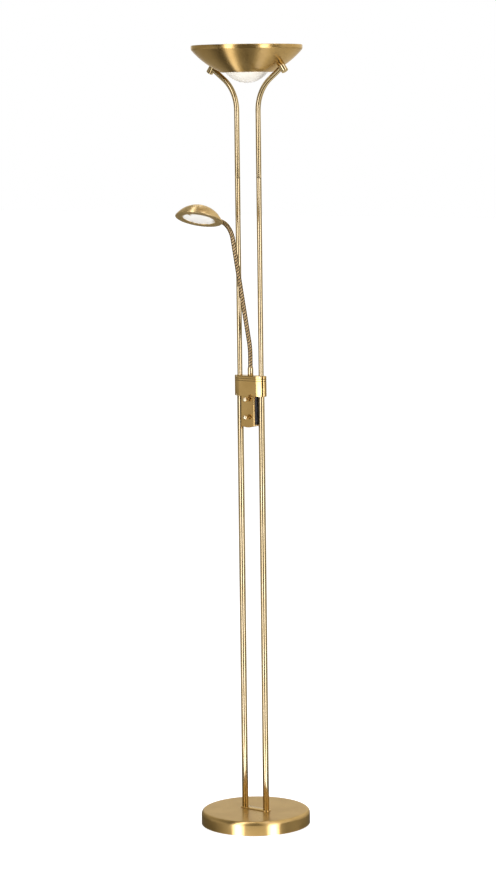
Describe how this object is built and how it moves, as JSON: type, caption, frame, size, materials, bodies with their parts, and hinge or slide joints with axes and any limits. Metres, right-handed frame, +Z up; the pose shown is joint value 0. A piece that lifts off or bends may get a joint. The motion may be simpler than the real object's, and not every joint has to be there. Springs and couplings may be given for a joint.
{
  "type": "torchiere floor lamp with reading light",
  "caption": "Uplighter bowl on twin stems from a round weighted base, with a reading light on a gooseneck and rotary dimmers on a collar.",
  "frame": {"origin": "on the floor under the middle of the round base", "axes": "+Z up along the lamp; -Y forward, the side the dimmer knobs and the reading light are on; +X to the right as seen from the front, along the line of the two stems"},
  "size_m": [0.253, 0.3604, 1.8],
  "materials": {
    "brass_finish": "brushed, satin lacquer, antique tone",
    "iron": "rough cast",
    "zinc_steel": "zinc plated",
    "black_plastic": "fine moulded grain",
    "circuit_board": "lacquered laminate",
    "felt": "pressed felt",
    "opal_glass": "opal, satin",
    "clear_glass": "clear",
    "white_ceramic": "unglazed"
  },
  "bodies": {
    "stand": {"barrel_left": "brass_finish", "barrel_right": "brass_finish", "barrel_studs": "zinc_steel", "base_cover": "brass_finish", "base_pad": "felt", "base_weight": "iron", "bowl": "brass_finish", "bowl_glass": "opal_glass", "bowl_nuts": "zinc_steel", "bowl_seats": "zinc_steel", "collar_bottom_plate": "brass_finish", "collar_sleeve": "brass_finish", "collar_top_plate": "brass_finish", "cord_gland": "black_plastic", "dimmer_board": "circuit_board", "dimmer_body": "black_plastic", "dimmer_cover": "brass_finish", "floor_plate": "zinc_steel", "foot_plate": "brass_finish", "halogen_lamp": "clear_glass", "lamp_bracket": "zinc_steel", "lamp_holders": "white_ceramic", "lower_tube_left": "brass_finish", "lower_tube_right": "brass_finish", "neck_ferrule": "brass_finish", "neck_foot": "brass_finish", "neck_nipple": "zinc_steel", "neck_nut": "zinc_steel", "potentiometers": "black_plastic", "tube_couplers": "zinc_steel", "tube_nuts": "zinc_steel", "tube_studs": "zinc_steel", "tube_washers": "zinc_steel", "upper_tube_left": "brass_finish", "upper_tube_right": "brass_finish"},
    "knob_upper": {"knob_upper": "brass_finish", "spindle_upper": "zinc_steel"},
    "knob_lower": {"knob_lower": "brass_finish", "spindle_lower": "zinc_steel"},
    "neck_1": {"neck_link_1": "brass_finish"},
    "neck_2": {"neck_link_2": "brass_finish"},
    "neck_3": {"neck_link_3": "brass_finish"},
    "neck_4": {"neck_link_4": "brass_finish"},
    "neck_5": {"neck_link_5": "brass_finish"},
    "neck_6": {"neck_link_6": "brass_finish"},
    "neck_7": {"neck_link_7": "brass_finish"},
    "reading_head": {"neck_link_8": "brass_finish", "head_socket": "brass_finish", "head_nipple": "zinc_steel", "head_nut": "zinc_steel", "head_shell": "brass_finish", "head_bezel": "brass_finish", "head_glass": "opal_glass", "glass_clips": "brass_finish", "reading_lamp_holder": "white_ceramic", "reading_bulb": "clear_glass"}
  },
  "joints": [
    {"name": "neck_bend_1", "type": "hinge", "parent": "stand", "child": "neck_1", "pos_m": [0, -0.00012, 1.101], "axis": [1, 0, 0], "range_deg": [-3, 12]},
    {"name": "neck_side_1", "type": "hinge", "parent": "neck_1", "child": "neck_2", "pos_m": [0, -0.00757, 1.14465], "axis": [0, 0.9736, 0.2284], "range_deg": [-12, 12]},
    {"name": "neck_bend_2", "type": "hinge", "parent": "neck_2", "child": "neck_3", "pos_m": [0, -0.01771, 1.18785], "axis": [1, 0, 0], "range_deg": [-3, 12]},
    {"name": "neck_side_2", "type": "hinge", "parent": "neck_3", "child": "neck_4", "pos_m": [0, -0.02784, 1.23104], "axis": [0, 0.9736, 0.2284], "range_deg": [-12, 12]},
    {"name": "neck_bend_3", "type": "hinge", "parent": "neck_4", "child": "neck_5", "pos_m": [0, -0.03797, 1.27424], "axis": [1, 0, 0], "range_deg": [-3, 12]},
    {"name": "neck_side_3", "type": "hinge", "parent": "neck_5", "child": "neck_6", "pos_m": [0, -0.0481, 1.31744], "axis": [0, 0.9736, 0.2284], "range_deg": [-12, 12]},
    {"name": "neck_bend_4", "type": "hinge", "parent": "neck_6", "child": "neck_7", "pos_m": [0, -0.05823, 1.36064], "axis": [1, 0, 0], "range_deg": [-3, 12]},
    {"name": "neck_side_4", "type": "hinge", "parent": "neck_7", "child": "reading_head", "pos_m": [0, -0.0818, 1.39697], "axis": [0, 0.5744, 0.8186], "range_deg": [-12, 12]},
    {"name": "knob_upper_turn", "type": "hinge", "parent": "stand", "child": "knob_upper", "pos_m": [0, -0.013, 0.9962], "axis": [0, -1, 0], "range_deg": [0, 300]},
    {"name": "knob_lower_turn", "type": "hinge", "parent": "stand", "child": "knob_lower", "pos_m": [0, -0.013, 0.955], "axis": [0, -1, 0], "range_deg": [0, 300]}
  ],
  "couplings": [
    {"joint": "neck_bend_2", "follows": "neck_bend_1", "ratio": 1},
    {"joint": "neck_side_2", "follows": "neck_side_1", "ratio": 1},
    {"joint": "neck_bend_3", "follows": "neck_bend_1", "ratio": 1},
    {"joint": "neck_side_3", "follows": "neck_side_1", "ratio": 1},
    {"joint": "neck_bend_4", "follows": "neck_bend_1", "ratio": 1},
    {"joint": "neck_side_4", "follows": "neck_side_1", "ratio": 1}
  ]
}
